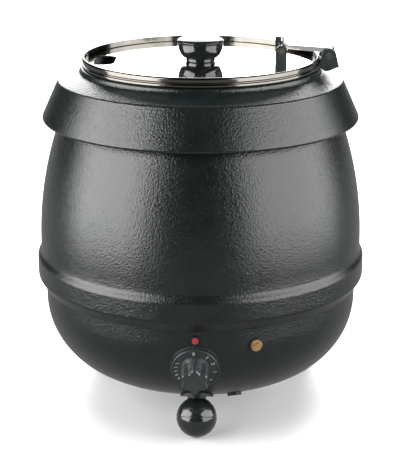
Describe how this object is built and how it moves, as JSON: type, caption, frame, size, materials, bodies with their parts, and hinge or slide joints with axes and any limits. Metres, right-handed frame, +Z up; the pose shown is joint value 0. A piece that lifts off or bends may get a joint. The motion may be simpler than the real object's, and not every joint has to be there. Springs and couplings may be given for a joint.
{
  "type": "soup kettle",
  "caption": "Electric wet-well soup kettle: barrel-shaped black body on ball feet, lift-out steel pot, lid ring with a hinged lid, ladle notch, heat dial and lamps.",
  "frame": {"origin": "centre of the kettle's footprint on the table, on the axis of its round body", "axes": "+Z up along the body's axis, -Y towards the front with the dial, +X towards the lid hinge"},
  "size_m": [0.34, 0.3644, 0.3831],
  "materials": {
    "body_paint": "hammered semi-gloss powder coat",
    "plain_steel": "plain zinc-plated steel",
    "rubber_seal": "matt silicone",
    "pot_steel": "satin stainless steel",
    "aluminium_plate": "plain sheet",
    "element_sheath": "heat-tinted steel sheath",
    "switch_plastic": "moulded",
    "copper_bulb": "plain copper",
    "dial_plastic": "satin moulded black",
    "red_lens": "clear red lens",
    "amber_lens": "amber lens",
    "black_trim": "moulded black",
    "ball_plastic": "polished black",
    "lid_steel": "mirror-polished stainless steel",
    "hinge_black": "black coated steel",
    "rivet_steel": "polished",
    "strap_steel": "polished stainless steel",
    "knob_plastic": "polished black",
    "brass_shaft": "plain"
  },
  "bodies": {
    "base": {"lower_bowl": "body_paint", "waist_joint_ring": "plain_steel", "upper_shell": "body_paint", "top_collar": "body_paint", "well_gasket": "rubber_seal", "water_well": "pot_steel", "heat_spreader": "aluminium_plate", "heating_element": "element_sheath", "element_clamp": "plain_steel", "clamp_nuts": "plain_steel", "thermal_cutout": "switch_plastic", "reset_cap": "black_trim", "thermostat_body": "switch_plastic", "thermostat_nut": "plain_steel", "thermostat_bulb": "copper_bulb", "bulb_clip": "plain_steel", "dial_bezel": "dial_plastic", "power_lamp_lens": "red_lens", "power_lamp_bezel": "black_trim", "power_lamp_body": "switch_plastic", "heat_lamp_lens": "amber_lens", "heat_lamp_bezel": "black_trim", "heat_lamp_body": "switch_plastic", "terminal_block": "switch_plastic", "gland_body": "black_trim", "gland_cap": "black_trim", "gland_nut": "black_trim", "base_plate": "plain_steel", "base_screws": "plain_steel", "tie_rod": "plain_steel", "tie_rod_nut": "plain_steel", "foot_front_mount": "black_trim", "foot_front_ball": "ball_plastic", "foot_rear_left_mount": "black_trim", "foot_rear_left_ball": "ball_plastic", "foot_rear_right_mount": "black_trim", "foot_rear_right_ball": "ball_plastic", "foot_studs": "plain_steel", "foot_nuts": "plain_steel"},
    "soup_pot": {"soup_pot": "pot_steel"},
    "lid_ring": {"lid_ring": "lid_steel", "hinge_bracket": "hinge_black", "bracket_rivets": "rivet_steel", "hinge_pin": "rivet_steel"},
    "lid": {"lid_plate": "lid_steel", "lid_lug": "hinge_black", "lug_rivets": "rivet_steel", "lug_pin": "rivet_steel", "hinge_strap": "strap_steel", "strap_rivets": "rivet_steel", "lid_knob": "knob_plastic", "knob_washer": "plain_steel", "knob_screw": "plain_steel"},
    "dial": {"dial_skirt": "dial_plastic", "dial_grip": "dial_plastic", "dial_shaft": "brass_shaft", "dial_grub_screw": "plain_steel"}
  },
  "joints": [
    {"name": "pot_lift", "type": "slide", "parent": "base", "child": "soup_pot", "axis": [0, 0, 1], "range_m": [0, 0.3]},
    {"name": "ring_lift", "type": "slide", "parent": "soup_pot", "child": "lid_ring", "axis": [0, 0, 1], "range_m": [0, 0.06]},
    {"name": "lid_hinge", "type": "hinge", "parent": "lid_ring", "child": "lid", "pos_m": [0.1285, 0, 0.3645], "axis": [0, 1, 0], "range_deg": [0, 94]},
    {"name": "dial_turn", "type": "hinge", "parent": "base", "child": "dial", "pos_m": [0, -0.157, 0.088], "axis": [0, 0.9744, 0.225], "range_deg": [0, 270]}
  ]
}
